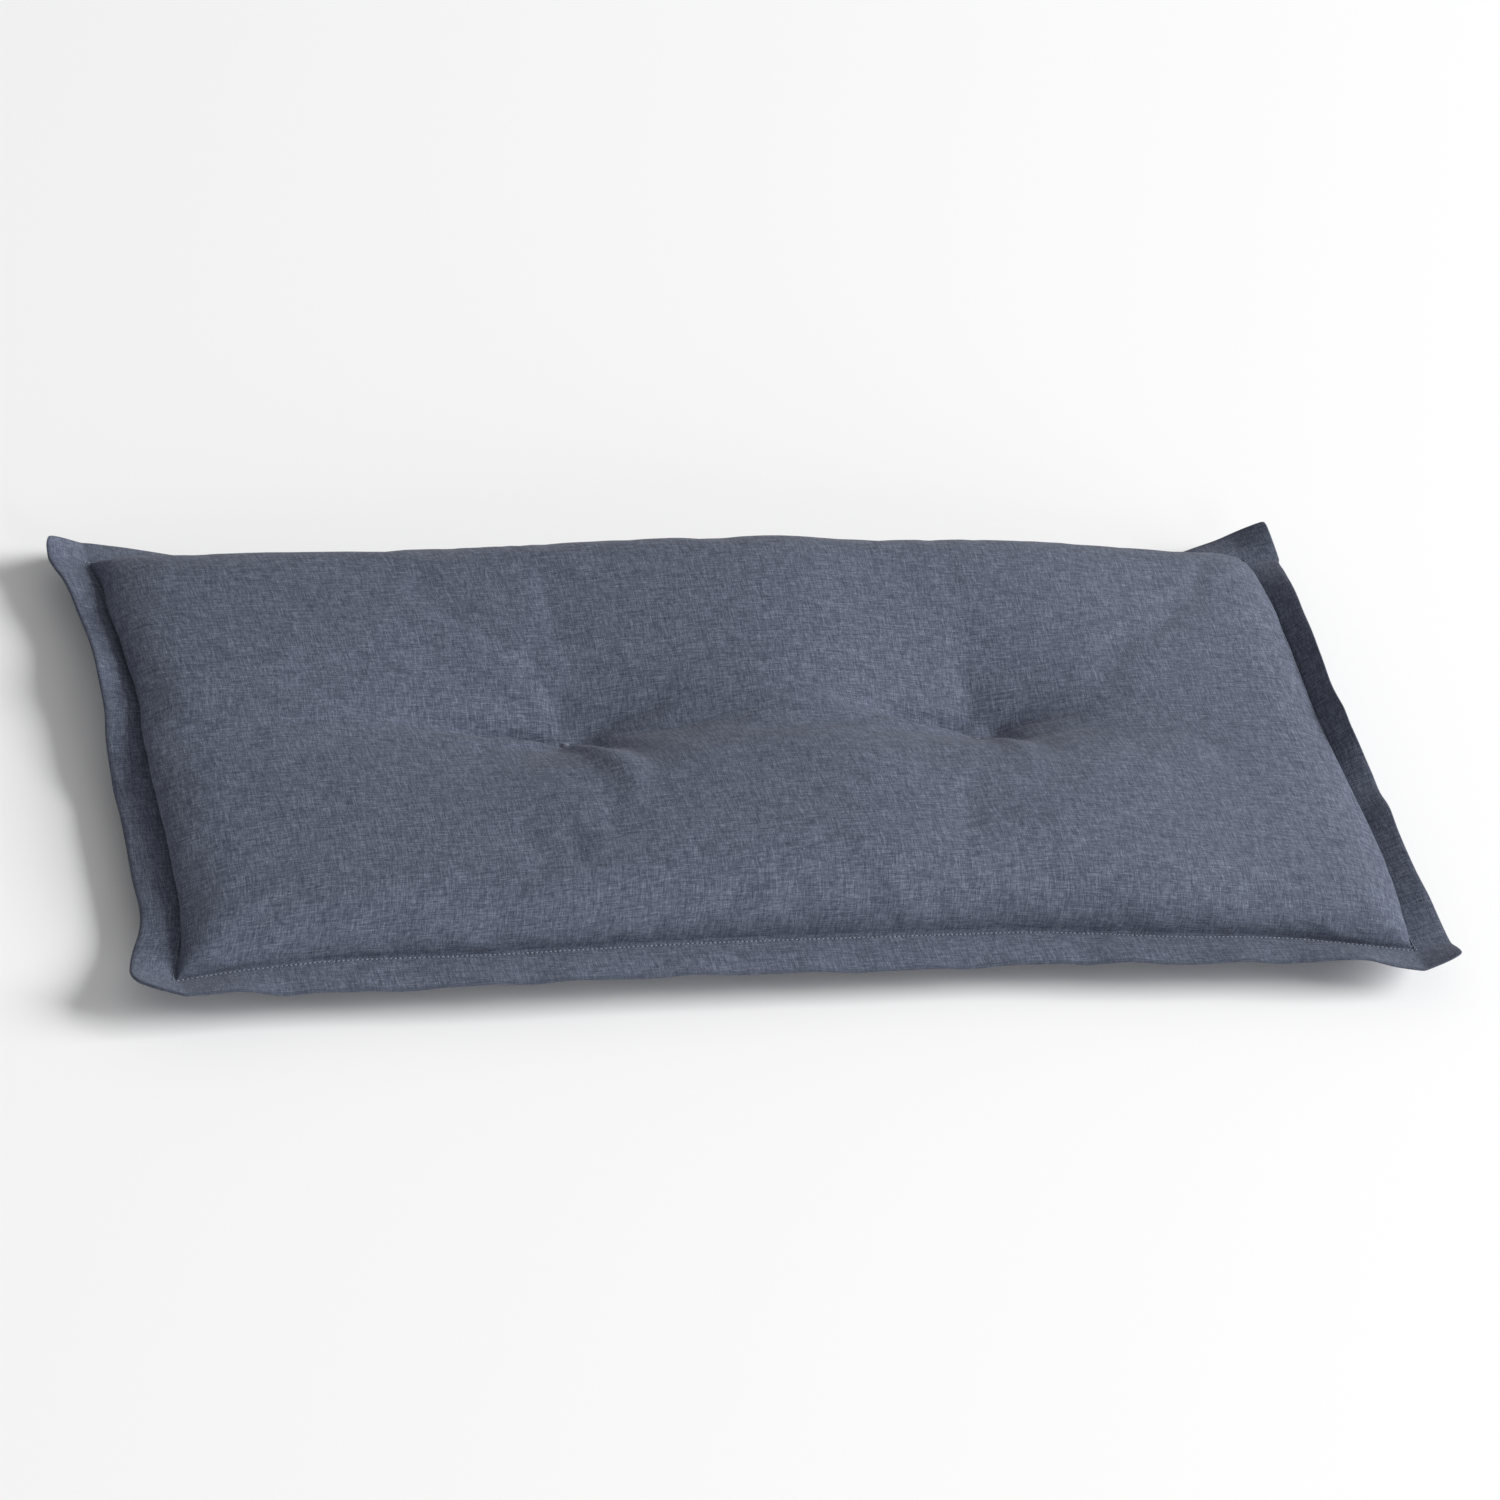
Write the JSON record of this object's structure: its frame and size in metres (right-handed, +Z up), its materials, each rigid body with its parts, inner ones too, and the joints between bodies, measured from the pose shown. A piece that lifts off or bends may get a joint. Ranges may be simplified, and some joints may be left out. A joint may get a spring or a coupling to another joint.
{
  "type": "bench cushion",
  "caption": "Rectangular filled seat cushion for a garden bench, with a crowned top, tufts that pull a valley along its middle, and a flat stitched border round its seams.",
  "frame": {"origin": "middle of the cushion's box, on the surface that it lies on", "axes": "+X along the cushion to its right end, +Y across it to its back, +Z up out of its crowned top"},
  "size_m": [0.999, 0.4984, 0.0887],
  "materials": {
    "cloth": "matt blue-grey melange plain weave",
    "thread": "dark blue-grey sewing thread"
  },
  "bodies": {
    "root": {"cushion": "cloth", "tuft_tack_left": "thread", "tuft_tack_right": "thread", "under_tack_left": "thread", "under_tack_right": "thread"}
  },
  "joints": []
}
